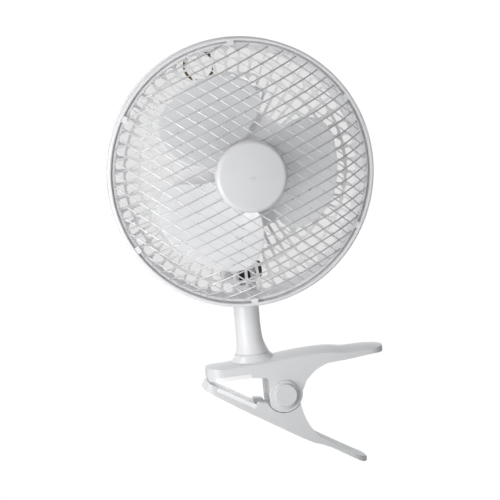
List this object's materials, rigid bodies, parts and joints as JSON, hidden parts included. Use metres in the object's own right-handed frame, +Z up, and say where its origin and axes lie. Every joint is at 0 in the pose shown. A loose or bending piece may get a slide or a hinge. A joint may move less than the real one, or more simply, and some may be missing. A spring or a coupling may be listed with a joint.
{
  "type": "clip fan",
  "caption": "Small clip-on fan: round domed wire guard and wide blades on a tilting, swivelling neck that stands on a sprung jaw clip.",
  "frame": {"origin": "centre of the upper jaw pad's gripping face", "axes": "+X along the clip towards the finger handles, +Y towards the back of the fan (it blows towards -Y), +Z up along the neck"},
  "size_m": [0.1942, 0.1218, 0.3212],
  "materials": {
    "badge_white": "gloss",
    "black_plastic": "satin",
    "blade_white": "gloss",
    "bobbin_nylon": "matte",
    "copper_coil": "enamelled wire",
    "core_steel": "laminated",
    "dark_bronze": "oil rubbed",
    "fibre_washer": "fibre",
    "pad_rubber": "matte",
    "sintered_bronze": "sintered, oiled",
    "spring_steel": "nickel plated",
    "white_arm": "semi-gloss moulded",
    "white_plastic": "semi-gloss moulded",
    "wire_white": "gloss powder coat",
    "zinc_steel": "zinc plated"
  },
  "bodies": {
    "head": {"front_ring": "white_plastic", "guard_rim_wire": "wire_white", "guard_wires_outer": "wire_white", "guard_wires_inner": "wire_white", "hub_badge": "badge_white", "badge_retainer": "white_plastic", "rear_guard": "white_plastic", "ring_lug": "white_plastic", "motor_housing": "white_plastic", "tilt_bracket": "black_plastic", "tilt_bracket_screws": "zinc_steel", "housing_screws": "zinc_steel", "stator_core": "core_steel", "coil_bobbins": "bobbin_nylon", "field_coils": "copper_coil", "front_bearing_bracket": "zinc_steel", "rear_bearing_bracket": "zinc_steel", "front_bush": "sintered_bronze", "rear_bush": "sintered_bronze", "motor_screws": "zinc_steel", "bracket_screws": "zinc_steel", "switch_body": "black_plastic", "cord_gland": "black_plastic"},
    "hanging_ring": {"hanging_ring": "dark_bronze"},
    "impeller": {"impeller": "blade_white", "motor_shaft": "spring_steel", "rotor_core": "core_steel", "thrust_washers": "fibre_washer"},
    "speed_knob": {"speed_knob": "black_plastic", "switch_spindle": "black_plastic"},
    "neck": {"neck": "white_plastic", "tilt_washers": "zinc_steel", "tilt_bolt": "black_plastic", "tilt_knob": "white_plastic", "swivel_washer": "zinc_steel", "swivel_screw": "zinc_steel"},
    "clip_upper": {"upper_clip_arm": "white_arm", "upper_jaw_pad": "pad_rubber", "pivot_pin": "spring_steel", "pivot_caps": "white_arm", "torsion_spring": "spring_steel"},
    "clip_lower": {"lower_clip_arm": "white_arm", "lower_jaw_pad": "pad_rubber"}
  },
  "joints": [
    {"name": "clip_open", "type": "hinge", "parent": "clip_upper", "child": "clip_lower", "pos_m": [0.0363, 0, -0.0149], "axis": [0, -1, 0], "range_deg": [0, 32], "stiffness_Nm_per_rad": 0.6, "springref_deg": -51.57, "deforming": ["torsion_spring"]},
    {"name": "neck_swivel", "type": "hinge", "parent": "clip_upper", "child": "neck", "pos_m": [0.0175, 0, 0.0165], "axis": [0, 0, 1], "range_deg": [-90, 90]},
    {"name": "head_tilt", "type": "hinge", "parent": "neck", "child": "head", "pos_m": [0.016, 0, 0.0775], "axis": [1, 0, 0], "range_deg": [-45, 20]},
    {"name": "fan_spin", "type": "hinge", "parent": "head", "child": "impeller", "pos_m": [0.016, -0.036, 0.1515], "axis": [0, 1, 0], "continuous": true},
    {"name": "knob_turn", "type": "hinge", "parent": "head", "child": "speed_knob", "pos_m": [0.016, 0.0345, 0.172], "axis": [0, 1, 0], "range_deg": [0, 90]},
    {"name": "ring_swing", "type": "hinge", "parent": "head", "child": "hanging_ring", "pos_m": [-0.0023, -0.0075, 0.2391], "axis": [1, 0, 0], "range_deg": [-8, 120]}
  ]
}
